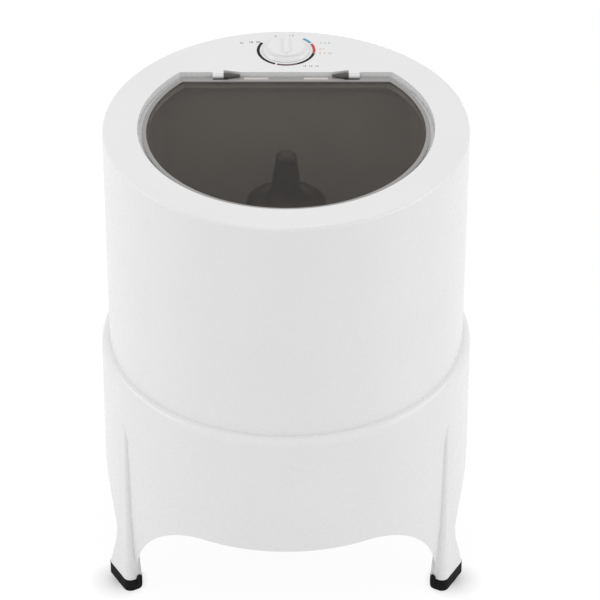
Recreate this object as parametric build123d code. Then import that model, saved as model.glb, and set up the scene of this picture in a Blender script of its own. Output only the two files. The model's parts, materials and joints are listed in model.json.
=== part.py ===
# Round top-loading washing machine on three legs: tub, agitator, belt drive, hinged lid, timer.
# Millimetres, +Z up. The tub's axis stands AXIS_Y from the origin, which is the footprint's centre.
import os
from math import cos, radians, sin

from build123d import *

# Overall form
RIM_Z = 690.0
CREASE_Z = 350.0
HEM_Z = 157.0
CABINET_R = 250.0
CABINET_DRAFT = 1.2
SKIRT_FLARE = 11.2
SHOULDER_H = 13.0
WALL = 3.0
RIM_EDGE_R = 4.0
FIT = 0.3

# Lid recess in the top, a circle cut off by a straight rear side
RECESS_FROM_RIM = 47.5
CONSOLE_DEPTH = 111.0
RECESS_DEPTH = 11.3
RECESS_CORNER = 4.0
LEDGE_W = 12.0
SPLASH_LIP_H = 8.0

# Lid
LID_GAP = 6.5
LID_REAR_GAP = 4.0
LID_FRAME_H = 4.8
LID_FRAME_W = 5.5
LID_FRAME_WALL = 2.8
LID_BACK_W = 10.5
PANEL_T = 2.6
FRAME_FLANGE_T = 1.8
HINGE_BELOW_RIM = 4.0
HINGE_FROM_WALL = 3.6
HINGE_R = 4.4
KNUCKLE_R = 3.4
PIN_R = 2.0
PIN_CLEARANCE = 0.05
KNUCKLE_X = 87.0
KNUCKLE_L = 15.0
LUG_L = 23.0
LUG_TIP_R = 1.7
LUG_BARREL_L = 8.0
LUG_STRAP_T = 1.6
LUG_STRAP_W = 3.3
NOTCH_W = 6.7
PAD_INNER_X = 24.5
PAD_OUTER_X = 58.5
PAD_W = 5.0
PAD_T = 1.5
PAD_PROUD = 0.4
POCKET_DEPTH = 5.5
POCKET_WALL = 2.0

# Wash tub
TUB_GAP = 11.0
TUB_TAPER = 8.0
TUB_BEHIND_RECESS = 11.0
TUB_FLOOR_Z = 356.0
TUB_FLOOR_T = 4.0
TUB_CORNER_R = 32.0
TUB_BACK_CORNER_R = 26.0
TUB_LIP_W = 5.0
GASKET_T = 1.0
FOOT_RIB_FROM_WALL = 33.0
DRAIN_FROM_RIB = 28.0
DRAIN_R = 20.0
STRAINER_T = 1.5

# Base skirt
DECK_T = 3.0
DECK_TOP_Z = 348.0
DECK_PAST_RIB = 14.0
NECK_H = 12.0
LEDGE_Z = 163.0
LEDGE_REACH = 26.0
ARCH_EDGE_ANGLE = 5.8
ARCH_CORNER_X = 99.0
ARCH_SPRING_Z = 24.0
LEG_AZIMUTHS = {"front_left": -61.0, "front_right": 61.0, "rear": 180.0}
LEG_PROUD = 16.0
LEG_DEPTH = 27.0
LEG_W = 60.0
LEG_CORNER_R = 10.0
LEG_ANKLE_Z = 66.0
LEG_ANKLE_PROUD = 9.5
LEG_ANKLE_W = 41.0
LEG_KNEE_Z = 126.0
LEG_KNEE_PROUD = 6.5
LEG_KNEE_W = 31.0
LEG_HEAD_Z = 256.0
LEG_HEAD_PROUD = 3.4
LEG_HEAD_W = 22.0
LEG_APEX_Z = 274.0
LEG_APEX_PROUD = 0.4
LEG_APEX_W = 8.0
LEG_HOLLOW_TOP_Z = 212.0
LEG_HOLLOW_CORNER_R = 6.0
LEG_FLANGE_Z = 26.0

# Foot caps
SHOE_H = 20.0
SHOE_SOLE_T = 6.0
SHOE_WALL = 2.5
SHOE_PROUD = 0.5
SHOE_TAB_W = 8.0

# Bottom cover
COVER_T = 3.0
COVER_GAP = 17.0
COVER_SLOT_W = 7.0
COVER_SLOT_RADII = (120.0, 145.0, 170.0)
COVER_SLOT_ARC = 42.0

# Timer and knob
DIAL_FROM_RIM = 53.0
KNOB_SKIRT_R = 33.0
KNOB_SKIRT_H = 3.5
KNOB_DISC_R = 25.5
KNOB_H = 7.5
GRIP_W = 13.0
GRIP_L = 49.0
GRIP_H = 10.2
GRIP_SLOPE = 18.0
KNOB_GAP = 0.5
KNOB_HOLLOW_R = 25.0
KNOB_HOLLOW_H = 3.2
TIMER_SHAFT_R = 3.0
TIMER_SIZE = 56.0
TIMER_H = 38.0
TIMER_PLATE_T = 2.0
TIMER_SCREW_X = 20.0

# Agitator
AGITATOR_GAP = 105.0
AGITATOR_Z = 363.0
AGITATOR_RIM_H = 6.0
AGITATOR_WALL = 3.5
COLUMN_FOOT_R = 46.0
COLUMN_FOOT_Z = 446.0
COLUMN_TOP_R = 38.0
COLUMN_TOP_Z = 557.0
COLLAR_R = 52.0
COLLAR_Z = 551.0
COLLAR_H = 6.0
VANE_T = 8.0
VANE_COUNT = 4
FIN_T = 6.0
FIN_H = 13.0
CAP_R = 55.0
CAP_EDGE_Z = 565.0
CAP_FLARE_R = 26.0
CAP_FLARE_Z = 582.0
POST_FOOT_R = 18.9
POST_FOOT_Z = 606.0
POST_TOP_R = 15.4
POST_TOP_Z = 631.5
DOME_H = 14.0

# Drive shaft and bearings
SHAFT_R = 8.0
SHAFT_BOTTOM_Z = 186.0
SHAFT_TOP_Z = 398.0
RUNNING = 0.04
HOUSING_R = 21.0
HOUSING_FLANGE_R = 58.0
HOUSING_FLANGE_T = 6.0
HOUSING_BOTTOM_Z = 238.0
HOUSING_NECK_Z = 361.0
BUSH_R = 14.0
BUSH_L = 22.0
SEAL_H = 6.0

# Belt drive
BELT_Z = 206.0
BELT_H = 8.0
BELT_T = 6.0
BELT_GAP = 0.3
DRIVEN_R = 92.0
DRIVEN_HUB_R = 18.0
DRIVEN_HUB_H = 30.0
PULLEY_W = 18.0
GROOVE_DEPTH = 9.0
MOTOR_PULLEY_R = 21.0
MOTOR_FROM_TUB_BACK = 4.0
MOTOR_R = 56.0
STATOR_R = 59.0
STATOR_H = 56.0
BELL_H = 20.0
MOTOR_BOTTOM_Z = 226.0
MOTOR_SHAFT_R = 6.0
FAN_R = 44.0
FAN_GAP = 3.0
FAN_H = 8.0
BRACKET_T = 3.0
BRACKET_Z = 338.0
BRACKET_W = 150.0
BRACKET_AHEAD = 64.0
BRACKET_BEHIND = 86.0
BRACKET_HOLE_X = 58.0
BRACKET_HOLE_IN = 12.0
STUD_CIRCLE_R = 50.0
STUD_R = 2.5

# Capacitor
CAPACITOR_FROM_SKIRT = 52.0
CAPACITOR_Y = 50.0
CAPACITOR_R = 19.0
CAPACITOR_H = 62.0

# Outlet and cord gland low on the two rear sides of the skirt
OUTLET_Z = 205.0
OUTLET_AZIMUTH = -120.0
OUTLET_PIPE_R = 12.0
OUTLET_BORE_R = 9.5
OUTLET_BEND_R = 30.0
OUTLET_FLANGE_R = 19.0
OUTLET_FLANGE_T = 4.0
SPIGOT_R = 13.0
SPIGOT_L = 26.0
GLAND_AZIMUTH = 120.0
GLAND_BORE_R = 4.0
GLAND_BODY_R = 6.0
GLAND_LIP_R = 9.0
GLAND_LIP_T = 3.0
GLAND_INSIDE_L = 12.0

# Screws
SCREW_R = 2.0
SCREW_HEAD_R = 4.2
SCREW_HEAD_H = 2.6
BOSS_R = 6.0

# Places worked out from the sizes above
CREASE_R = CABINET_R - CABINET_DRAFT
SKIRT_R = CREASE_R + SKIRT_FLARE
LEG_OUT_R = SKIRT_R + LEG_PROUD
LEG_IN_R = LEG_OUT_R - LEG_DEPTH
LEG_MID_R = (LEG_OUT_R + LEG_IN_R) / 2
AXIS_Y = (SKIRT_R - LEG_OUT_R - SHOE_PROUD) / 2
LEDGE_INNER_R = SKIRT_R - LEDGE_REACH
COVER_R = SKIRT_R - COVER_GAP
TOP_UNDER_Z = RIM_Z - WALL
RECESS_R = CABINET_R - RECESS_FROM_RIM
RECESS_BACK_Y = CABINET_R - CONSOLE_DEPTH
RECESS_Z = RIM_Z - RECESS_DEPTH
DIAL_Y = CABINET_R - DIAL_FROM_RIM
HINGE_Y = RECESS_BACK_Y - HINGE_FROM_WALL
HINGE_Z = RIM_Z - HINGE_BELOW_RIM
LID_Z = RECESS_Z + FIT
LID_TOP_Z = LID_Z + LID_FRAME_H
LID_R = RECESS_R - LID_GAP
LID_BACK_Y = RECESS_BACK_Y - LID_REAR_GAP
TUB_TOP_Z = TOP_UNDER_Z - GASKET_T
TUB_TOP_R = CABINET_R - TUB_GAP
TUB_BOTTOM_R = TUB_TOP_R - TUB_TAPER
TUB_BACK_Y = RECESS_BACK_Y + TUB_BEHIND_RECESS
FOOT_RIB_R = TUB_BOTTOM_R - FOOT_RIB_FROM_WALL
DRAIN_PLACE_R = FOOT_RIB_R - DRAIN_FROM_RIB
DECK_Z = DECK_TOP_Z - DECK_T
DECK_INNER_R = FOOT_RIB_R - DECK_PAST_RIB
AGITATOR_R = TUB_BOTTOM_R - AGITATOR_GAP
MOTOR_Y = TUB_BACK_Y - MOTOR_FROM_TUB_BACK
MOTOR_TOP_Z = MOTOR_BOTTOM_Z + STATOR_H + 2 * BELL_H
BRACKET_FRONT_Y = MOTOR_Y - BRACKET_AHEAD
BRACKET_BACK_Y = MOTOR_Y + BRACKET_BEHIND
BRACKET_FRONT_HOLE_Y = BRACKET_FRONT_Y + BRACKET_HOLE_IN
BRACKET_BACK_HOLE_Y = BRACKET_BACK_Y - BRACKET_HOLE_IN
CAPACITOR_X = SKIRT_R - CAPACITOR_FROM_SKIRT
FAR = 2 * CABINET_R


def disc(radius, bottom, height, x=0.0, y=0.0):
    """Upright cylinder standing on a height."""
    return Pos(x, y, bottom) * Cylinder(radius, height, align=(Align.CENTER, Align.CENTER, Align.MIN))


def tube(outer, inner, bottom, height, x=0.0, y=0.0):
    """Upright ring with a square section."""
    return disc(outer, bottom, height, x, y) - disc(inner, bottom - 1, height + 2, x, y)


def block(x_span, y_span, z_span):
    """Box from its lowest to its highest corner."""
    size = [span[1] - span[0] for span in (x_span, y_span, z_span)]
    middle = [(span[1] + span[0]) / 2 for span in (x_span, y_span, z_span)]
    return Pos(*middle) * Box(*size)


def turned(*outline):
    """Solid of revolution from an outline of points and curves in the XZ plane."""
    edges = []
    last = None
    for step in outline:
        if isinstance(step, tuple):
            if last is not None and (Vector(*last) - Vector(*step)).length > 1e-6:
                edges.append(Line(last, step))
            last = step
        else:
            edges.append(step)
            end = step @ 1
            last = (end.X, end.Y)
    first = outline[0]
    if (Vector(*last) - Vector(*first)).length > 1e-6:
        edges.append(Line(last, first))
    return revolve(Plane.XZ * make_face(edges), Axis.Z)


def d_face(radius, back_y, corner):
    """Circle about the axis, cut off straight at the back, with rounded corners."""
    face = Circle(radius) - Pos(0, back_y + radius) * Rectangle(4 * radius, 2 * radius)
    return fillet(face.vertices(), corner)


def d_prism(radius, back_y, corner, bottom, top):
    """Upright solid of the cut-off circle."""
    return extrude(Pos(0, 0, bottom) * d_face(radius, back_y, corner), top - bottom)


def around(shape, azimuth):
    """Turn a shape built towards +X so that it points to an azimuth from the front."""
    return Rot(0, 0, azimuth - 90) * shape


def spot(radius, azimuth):
    """Plan position at an azimuth from the front."""
    return radius * sin(radians(azimuth)), -radius * cos(radians(azimuth))


def screw(x, y, head_bottom, length, up=False):
    """Pan-head screw with its shank pointing down, or up from a head below."""
    head = disc(SCREW_HEAD_R, 0, SCREW_HEAD_H)
    head = fillet(head.edges().sort_by(Axis.Z)[-1], SCREW_HEAD_H / 2)
    body = head + disc(SCREW_R, -length, length)
    if up:
        body = Rot(180, 0, 0) * body
    return Pos(x, y, head_bottom) * body


def together(shapes):
    """Separate solids that share one node."""
    return Part() + list(shapes)


def hinge_x(start, end, radius, tip_radius=None):
    """Round bar along the lid's hinge line, tapered to a second radius if one is given."""
    centre = Plane(origin=(start, HINGE_Y, HINGE_Z), x_dir=(0, 1, 0), z_dir=(1, 0, 0))
    if tip_radius is None:
        return extrude(centre * Circle(radius), end - start)
    return loft([centre * Circle(radius), centre.offset(end - start) * Circle(tip_radius)])


CABINET_SCREW_AZIMUTHS = [30 + 60 * step for step in range(6)]
CABINET_SCREW_R = CREASE_R - WALL - 8.4
TUB_SCREW_AZIMUTHS = [60 * step for step in range(6)]
TUB_SCREW_R = FOOT_RIB_R
COVER_SCREW_AZIMUTHS = [60 * step for step in range(6)]
COVER_SCREW_R = (LEDGE_INNER_R + COVER_R) / 2
DRIVE_BOSS_PLACES = [(side * BRACKET_HOLE_X, BRACKET_FRONT_HOLE_Y) for side in (-1, 1)]
DECK_BOSS_PLACES = [(side * BRACKET_HOLE_X, BRACKET_BACK_HOLE_Y) for side in (-1, 1)]


def cabinet():
    """Upper casing with the top, the lid's recess and the hinge knuckles in one moulding."""
    outer = turned((0, CREASE_Z), (CREASE_R, CREASE_Z), (CABINET_R, RIM_Z), (0, RIM_Z))
    outer = fillet(outer.edges().filter_by(GeomType.CIRCLE).sort_by(Axis.Z)[-1], RIM_EDGE_R)
    inner = turned((0, CREASE_Z - 1), (CREASE_R - WALL, CREASE_Z - 1),
                   (CABINET_R - WALL, TOP_UNDER_Z), (0, TOP_UNDER_Z))
    shell = outer - inner
    ledge_back = RECESS_BACK_Y - LEDGE_W
    ledge_r = RECESS_R - LEDGE_W
    shell += d_prism(RECESS_R + WALL, RECESS_BACK_Y + WALL, RECESS_CORNER, RECESS_Z - WALL, TOP_UNDER_Z)
    shell += d_prism(ledge_r + WALL, ledge_back + WALL, RECESS_CORNER, RECESS_Z - SPLASH_LIP_H, RECESS_Z)
    for side in (-1, 1):
        near = side * (KNUCKLE_X - LUG_L - POCKET_WALL)
        far = side * (KNUCKLE_X + POCKET_WALL)
        shell += block(sorted((near, far)), (RECESS_BACK_Y, RECESS_BACK_Y + POCKET_DEPTH + POCKET_WALL),
                       (RECESS_Z - WALL, TOP_UNDER_Z))
    shell -= d_prism(RECESS_R, RECESS_BACK_Y, RECESS_CORNER, RECESS_Z, RIM_Z + 1)
    shell -= d_prism(ledge_r, ledge_back, RECESS_CORNER, RECESS_Z - SPLASH_LIP_H - 1, RIM_Z)
    for side in (-1, 1):
        shell -= hinge_pocket(side)
        shell += knuckle(side)
    for azimuth in CABINET_SCREW_AZIMUTHS:
        shell += cabinet_boss(azimuth)
    shell -= disc(TIMER_SHAFT_R + 1, TOP_UNDER_Z - 1, WALL + 2, 0, DIAL_Y)
    for side in (-1, 1):
        shell -= disc(SCREW_R + FIT, TOP_UNDER_Z - 1, WALL + 2, side * TIMER_SCREW_X, DIAL_Y)
    return shell


def hinge_pocket(side):
    """Wedge cut into the rear wall of the recess, deepest beside the knuckle."""
    wedge = Polygon((KNUCKLE_X, RECESS_BACK_Y - 1), (KNUCKLE_X, RECESS_BACK_Y + POCKET_DEPTH),
                    (KNUCKLE_X - LUG_L, RECESS_BACK_Y), (KNUCKLE_X - LUG_L, RECESS_BACK_Y - 1), align=None)
    cut = extrude(Pos(0, 0, RECESS_Z) * wedge, RECESS_DEPTH + 1)
    return cut if side > 0 else mirror(cut, Plane.YZ)


def knuckle(side):
    """Bored eye on the rear wall of the recess that carries one hinge pin."""
    reach = HINGE_FROM_WALL + WALL
    root = Rectangle(reach, HINGE_BELOW_RIM + KNUCKLE_R)
    section = Circle(KNUCKLE_R) + Pos(reach / 2, (HINGE_BELOW_RIM - KNUCKLE_R) / 2) * root
    section -= Circle(PIN_R + PIN_CLEARANCE)
    plane = Plane(origin=(KNUCKLE_X, HINGE_Y, HINGE_Z), x_dir=(0, 1, 0), z_dir=(1, 0, 0))
    eye = extrude(plane * section, KNUCKLE_L)
    return eye if side > 0 else mirror(eye, Plane.YZ)


def cabinet_boss(azimuth):
    """Screw boss inside the cabinet's lower edge, webbed to the wall."""
    bottom = DECK_TOP_Z + NECK_H + 3
    height = 18
    web = block((0, CREASE_R - WALL + 1.5 - CABINET_SCREW_R), (-2.5, 2.5), (bottom, bottom + height))
    boss = disc(SCREW_R + 3, bottom, height) + web - disc(SCREW_R, bottom - 1, height - 3)
    return around(Pos(CABINET_SCREW_R, 0, 0) * boss, azimuth)


def wash_tub():
    """Tub with a straight rear wall, hung under the top and stood on the deck."""
    back_inner = TUB_BACK_Y - WALL
    outer = turned((0, TUB_FLOOR_Z), (TUB_BOTTOM_R, TUB_FLOOR_Z), (TUB_TOP_R, TUB_TOP_Z), (0, TUB_TOP_Z))
    outer -= block((-FAR, FAR), (TUB_BACK_Y, FAR), (TUB_FLOOR_Z - 1, TUB_TOP_Z + 1))
    inner = turned((0, TUB_FLOOR_Z + TUB_FLOOR_T), (TUB_BOTTOM_R - WALL, TUB_FLOOR_Z + TUB_FLOOR_T),
                   (TUB_TOP_R - WALL, TUB_TOP_Z), (0, TUB_TOP_Z))
    inner -= block((-FAR, FAR), (back_inner, FAR), (TUB_FLOOR_Z, TUB_TOP_Z + 1))
    outer = round_tub(outer, TUB_BACK_CORNER_R, TUB_CORNER_R)
    inner = round_tub(inner, TUB_BACK_CORNER_R - WALL, TUB_CORNER_R - WALL)
    lip = d_prism(TUB_TOP_R + TUB_LIP_W, TUB_BACK_Y, TUB_BACK_CORNER_R, TUB_TOP_Z - WALL, TUB_TOP_Z)
    tub = outer + lip - inner
    under_flat = block((-FAR, FAR), (-FAR, TUB_BACK_Y - TUB_CORNER_R), (0, RIM_Z))
    tub += tube(FOOT_RIB_R + WALL, FOOT_RIB_R - WALL, DECK_TOP_Z, TUB_FLOOR_Z - DECK_TOP_Z + 1) & under_flat
    for azimuth in TUB_SCREW_AZIMUTHS:
        if azimuth != 180:
            x, y = spot(TUB_SCREW_R, azimuth)
            tub += disc(BOSS_R, DECK_TOP_Z, TUB_FLOOR_Z - DECK_TOP_Z + 1, x, y)
            tub -= disc(SCREW_R, DECK_TOP_Z - 1, TUB_FLOOR_Z - DECK_TOP_Z, x, y)
    for x, y in DRIVE_BOSS_PLACES:
        top = BRACKET_Z + BRACKET_T
        tub += disc(BOSS_R, top, TUB_FLOOR_Z - top + 1, x, y)
        tub -= disc(SCREW_R, top - 1, TUB_FLOOR_Z - top, x, y)
    tub -= disc(HOUSING_R + FIT, TUB_FLOOR_Z - 1, TUB_FLOOR_T + 2)
    x, y = spot(DRAIN_PLACE_R, OUTLET_AZIMUTH)
    tub -= disc(OUTLET_BORE_R, TUB_FLOOR_Z - 1, TUB_FLOOR_T + 2, x, y)
    tub -= disc(DRAIN_R, TUB_FLOOR_Z + TUB_FLOOR_T - STRAINER_T, 3, x, y)
    return tub


def round_tub(body, side_radius, floor_radius):
    """Round the upright rear corners and the edge round the floor."""
    upright = body.edges().filter_by(lambda e: abs((e @ 0).Z - (e @ 1).Z) > 100)
    body = fillet(upright, side_radius)
    floor = body.faces().sort_by(Axis.Z)[0]
    return fillet(floor.edges(), floor_radius)


def tub_gasket():
    """Flat seal between the tub's lip and the underside of the top."""
    outer = d_prism(TUB_TOP_R + TUB_LIP_W, TUB_BACK_Y, TUB_BACK_CORNER_R, TUB_TOP_Z, TOP_UNDER_Z)
    inner = d_prism(TUB_TOP_R - WALL, TUB_BACK_Y - WALL, TUB_BACK_CORNER_R - WALL, TUB_TOP_Z - 1,
                    TOP_UNDER_Z + 1)
    return outer - inner


def base_skirt():
    """Flared lower casing with three arches between three hollow legs."""
    shoulder = EllipticalCenterArc((CREASE_R, CREASE_Z - SHOULDER_H), SKIRT_FLARE, SHOULDER_H, 0, arc_size=90)
    wall_in = SKIRT_R - WALL
    neck_r = CREASE_R - WALL - FIT
    skirt = turned((wall_in, LEG_FLANGE_Z), (SKIRT_R, LEG_FLANGE_Z), (SKIRT_R, CREASE_Z - SHOULDER_H),
                   shoulder, (neck_r, CREASE_Z), (neck_r, CREASE_Z + NECK_H),
                   (neck_r - WALL, CREASE_Z + NECK_H),
                   (neck_r - WALL, DECK_TOP_Z), (DECK_INNER_R, DECK_TOP_Z), (DECK_INNER_R, DECK_Z),
                   (wall_in, DECK_Z), (wall_in, LEDGE_Z + WALL), (LEDGE_INNER_R, LEDGE_Z + WALL),
                   (LEDGE_INNER_R, LEDGE_Z), (wall_in, LEDGE_Z))
    left, right, rear = LEG_AZIMUTHS.values()
    for start, end in ((left, right), (right, rear), (rear, left + 360)):
        skirt -= around(arch(end - start), (start + end) / 2)
    for azimuth in LEG_AZIMUTHS.values():
        skirt += around(leg_outside(), azimuth)
    for azimuth in LEG_AZIMUTHS.values():
        skirt -= around(leg_hollow(), azimuth)
    for azimuth in CABINET_SCREW_AZIMUTHS:
        x, y = spot(CABINET_SCREW_R, azimuth)
        skirt -= disc(SCREW_R + 3 + FIT, DECK_TOP_Z, NECK_H + CREASE_Z, x, y)
        skirt -= disc(SCREW_R + FIT, DECK_Z - 1, DECK_T + 2, x, y)
    for azimuth in TUB_SCREW_AZIMUTHS:
        x, y = spot(TUB_SCREW_R, azimuth)
        if azimuth != 180:
            skirt -= disc(SCREW_R + FIT, DECK_Z - 1, DECK_T + 2, x, y)
    for azimuth in COVER_SCREW_AZIMUTHS:
        x, y = spot(COVER_SCREW_R, azimuth)
        skirt += disc(BOSS_R - 1, LEDGE_Z + WALL, 8, x, y)
        skirt -= disc(SCREW_R, LEDGE_Z - 1, 10, x, y)
    for x, y in DECK_BOSS_PLACES:
        top = BRACKET_Z + BRACKET_T
        skirt += disc(BOSS_R, top, DECK_Z - top, x, y)
        skirt -= disc(SCREW_R, top - 1, DECK_TOP_Z - top, x, y)
    skirt -= around(radial_bar(OUTLET_PIPE_R + FIT, SKIRT_R - 20, SKIRT_R + 20), OUTLET_AZIMUTH)
    skirt -= around(radial_bar(GLAND_BODY_R + FIT, SKIRT_R - 20, SKIRT_R + 20), GLAND_AZIMUTH)
    skirt -= disc(SCREW_R, DECK_Z - 1, DECK_T, CAPACITOR_X, CAPACITOR_Y)
    return skirt


def arch(leg_gap):
    """Cutter for one arch, built towards +X: straight hem, elliptical corners, upright sides."""
    half = SKIRT_R * sin(radians(leg_gap / 2 - ARCH_EDGE_ANGLE))
    rise = HEM_Z - ARCH_SPRING_Z
    flat = half - ARCH_CORNER_X
    outline = [
        Line((-half, -1), (half, -1)),
        Line((half, -1), (half, ARCH_SPRING_Z)),
        EllipticalCenterArc((flat, ARCH_SPRING_Z), ARCH_CORNER_X, rise, 0, arc_size=90),
        Line((flat, HEM_Z), (-flat, HEM_Z)),
        EllipticalCenterArc((-flat, ARCH_SPRING_Z), ARCH_CORNER_X, rise, 90, arc_size=90),
        Line((-half, ARCH_SPRING_Z), (-half, -1)),
    ]
    return extrude(Plane.YZ * make_face(outline), SKIRT_R + LEG_DEPTH)


def leg_section(depth, width, corner, middle, height):
    """Rounded rectangle across one leg."""
    return Pos(middle, 0, height) * RectangleRounded(depth, width, corner)


def leg_outside():
    """Raised rib of one leg, from a rounded head under the shoulder to the wide foot, with its spigot."""
    levels = [(SHOE_H, LEG_PROUD, LEG_W, LEG_CORNER_R)]
    for height, proud, width in ((LEG_ANKLE_Z, LEG_ANKLE_PROUD, LEG_ANKLE_W),
                                 (LEG_KNEE_Z, LEG_KNEE_PROUD, LEG_KNEE_W),
                                 (LEG_HEAD_Z, LEG_HEAD_PROUD, LEG_HEAD_W),
                                 (LEG_APEX_Z, LEG_APEX_PROUD, LEG_APEX_W)):
        levels.append((height, proud, width, width / 5))
    sections = []
    for height, proud, width, corner in levels:
        depth = SKIRT_R + proud - LEG_IN_R
        sections.append(leg_section(depth, width, corner, LEG_IN_R + depth / 2, height))
    return loft(sections, ruled=True) + extrude(spigot_face(0, SHOE_SOLE_T), SHOE_H - SHOE_SOLE_T)


def spigot_face(clearance, height):
    """Section of the leg's spigot inside the shoe, grown by a clearance."""
    trim = 2 * (SHOE_WALL - clearance)
    corner = LEG_CORNER_R - SHOE_WALL + clearance
    return leg_section(LEG_DEPTH - trim, LEG_W - trim, corner, LEG_MID_R, height)


def leg_hollow():
    """Cavity of one leg, open at the foot."""
    trim = 2 * (SHOE_WALL + WALL)
    top_width = 2 * WALL
    top_depth = LEG_DEPTH * 0.32
    return loft([
        leg_section(LEG_DEPTH - trim, LEG_W - trim, LEG_HOLLOW_CORNER_R, LEG_MID_R, SHOE_SOLE_T - 1),
        leg_section(top_depth, top_width, top_width * 0.35, LEG_IN_R + WALL + top_depth / 2, LEG_HOLLOW_TOP_Z),
    ], ruled=True)


def foot_cap(azimuth):
    """Rubber shoe under one leg, its two ends turned up over the wall's flanges."""
    shoe = extrude(leg_section(LEG_DEPTH + 2 * SHOE_PROUD, LEG_W + 2 * SHOE_PROUD, LEG_CORNER_R + SHOE_PROUD,
                               LEG_MID_R, 0), SHOE_H - FIT)
    shoe = fillet(shoe.edges().group_by(Axis.Z)[0], 1.6)
    for side in (-1, 1):
        inside = LEG_W / 2 - 1.5
        outside = LEG_W / 2 + 2
        tab = block((LEG_IN_R + 4, LEG_IN_R + 4 + SHOE_TAB_W), sorted((side * inside, side * outside)),
                    (SHOE_H / 2, LEG_FLANGE_Z - FIT))
        shoe += fillet(tab.edges().filter_by(Axis.Y).group_by(Axis.Z)[-1], SHOE_TAB_W * 0.45)
    shoe -= extrude(spigot_face(FIT / 2, SHOE_SOLE_T), SHOE_H)
    rib_space = leg_section(LEG_DEPTH + 2 * FIT, LEG_W + FIT, LEG_CORNER_R, LEG_MID_R, SHOE_H - FIT)
    shoe -= extrude(rib_space, SHOE_H)
    return around(shoe, azimuth)


def bottom_cover():
    """Round guard under the belt drive with arcs of cooling slots."""
    cover = disc(COVER_R, LEDGE_Z - COVER_T, COVER_T)
    for radius in COVER_SLOT_RADII:
        for azimuth in LEG_AZIMUTHS.values():
            cover -= around(arc_slot(radius), azimuth)
    for azimuth in COVER_SCREW_AZIMUTHS:
        x, y = spot(COVER_SCREW_R, azimuth)
        cover -= disc(SCREW_R + FIT, LEDGE_Z - COVER_T - 1, COVER_T + 2, x, y)
    return cover


def arc_slot(radius):
    """Slot that follows an arc about the axis, with round ends."""
    path = CenterArc((0, 0), radius, -COVER_SLOT_ARC / 2, COVER_SLOT_ARC)
    return extrude(Pos(0, 0, LEDGE_Z - COVER_T - 1) * SlotArc(path, COVER_SLOT_W), COVER_T + 2)


def lid_frame():
    """Grey rim of the lid with its rear bar, notched round the knuckles."""
    frame = d_prism(LID_R, LID_BACK_Y, RECESS_CORNER, LID_Z, LID_TOP_Z)
    rear = frame.edges().filter_by(Axis.X).sort_by(Axis.Z)[0]
    frame = fillet(rear, 2)
    inner_back = LID_BACK_Y - LID_BACK_W
    frame -= d_prism(LID_R - LID_FRAME_W, inner_back, RECESS_CORNER, LID_Z - 1, LID_TOP_Z + 1)
    frame -= d_prism(LID_R - LID_FRAME_WALL, inner_back + LID_FRAME_WALL, RECESS_CORNER, LID_Z - 1,
                     LID_TOP_Z - FRAME_FLANGE_T)
    for side in (-1, 1):
        near = side * (KNUCKLE_X - FIT)
        far = side * (KNUCKLE_X + KNUCKLE_L + FIT)
        frame -= block(sorted((near, far)), (LID_BACK_Y - NOTCH_W, LID_BACK_Y + 1),
                       (LID_Z - 1, LID_TOP_Z + 1))
        near = side * (KNUCKLE_X - LUG_L - FIT)
        frame -= hinge_x(*sorted((near, far)), HINGE_R + FIT)
        frame -= strap(side, FIT)
    return frame - together(pad(side, FIT / 3) for side in (-1, 1))


def pad(side, clearance=0.0):
    """One pale pad let into the lid's rear bar, grown by a clearance to cut its pocket."""
    x_span = sorted((side * (PAD_INNER_X - clearance), side * (PAD_OUTER_X + clearance)))
    back = LID_BACK_Y - 1
    top = LID_TOP_Z + PAD_PROUD
    body = block(x_span, (back - PAD_W - clearance, back + clearance),
                 (top - PAD_T - clearance, top + clearance))
    return body if clearance else fillet(body.edges().group_by(Axis.Z)[-1], PAD_PROUD * 0.8)


def lid_pads():
    """The two pads on the rear bar that meet the casing when the lid leans back."""
    return together(pad(side) for side in (-1, 1))


def lid_panel():
    """Smoked window held in the frame's seat."""
    back = LID_BACK_Y - LID_BACK_W + LID_FRAME_WALL - FIT / 3
    top = LID_TOP_Z - FRAME_FLANGE_T
    return d_prism(LID_R - LID_FRAME_WALL - FIT / 3, back, RECESS_CORNER, top - PANEL_T, top)


def strap(side, clearance=0.0):
    """Flat tongue from a hinge arm that passes in front of the knuckle, grown by a clearance."""
    outer = KNUCKLE_X - FIT
    front = LID_BACK_Y - NOTCH_W + FIT
    top = LID_TOP_Z - FIT
    low = top - LUG_STRAP_T - clearance
    root = block((outer - LUG_BARREL_L + 2 - clearance, outer + clearance), (front - clearance, HINGE_Y),
                 (low, top + 3 * clearance))
    tongue = block((outer - LUG_BARREL_L + 2, KNUCKLE_X + KNUCKLE_L), (front, front + LUG_STRAP_W),
                   (low, top))
    body = root if clearance else root + tongue
    return body if side > 0 else mirror(body, Plane.YZ)


def hinge_lug(side):
    """Dark hinge arm: a tapered barrel on the hinge line with a tongue round the knuckle's front."""
    outer = KNUCKLE_X - FIT
    barrel = hinge_x(outer - LUG_BARREL_L, outer, HINGE_R)
    taper = mirror(hinge_x(-(outer - LUG_BARREL_L), -(KNUCKLE_X - LUG_L), HINGE_R, LUG_TIP_R), Plane.YZ)
    body = barrel + taper
    body = body if side > 0 else mirror(body, Plane.YZ)
    body += strap(side)
    bore = hinge_x(outer - LUG_BARREL_L - 8, outer + 1, PIN_R)
    return body - (bore if side > 0 else mirror(bore, Plane.YZ))


def hinge_pin(side):
    """Steel pin pressed in the lug and turning in the cabinet's knuckle."""
    outer = KNUCKLE_X - FIT
    pin = hinge_x(outer - LUG_BARREL_L - 8, KNUCKLE_X + KNUCKLE_L - 1, PIN_R)
    pin = chamfer(pin.edges().filter_by(GeomType.CIRCLE), 0.4)
    return pin if side > 0 else mirror(pin, Plane.YZ)


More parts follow.
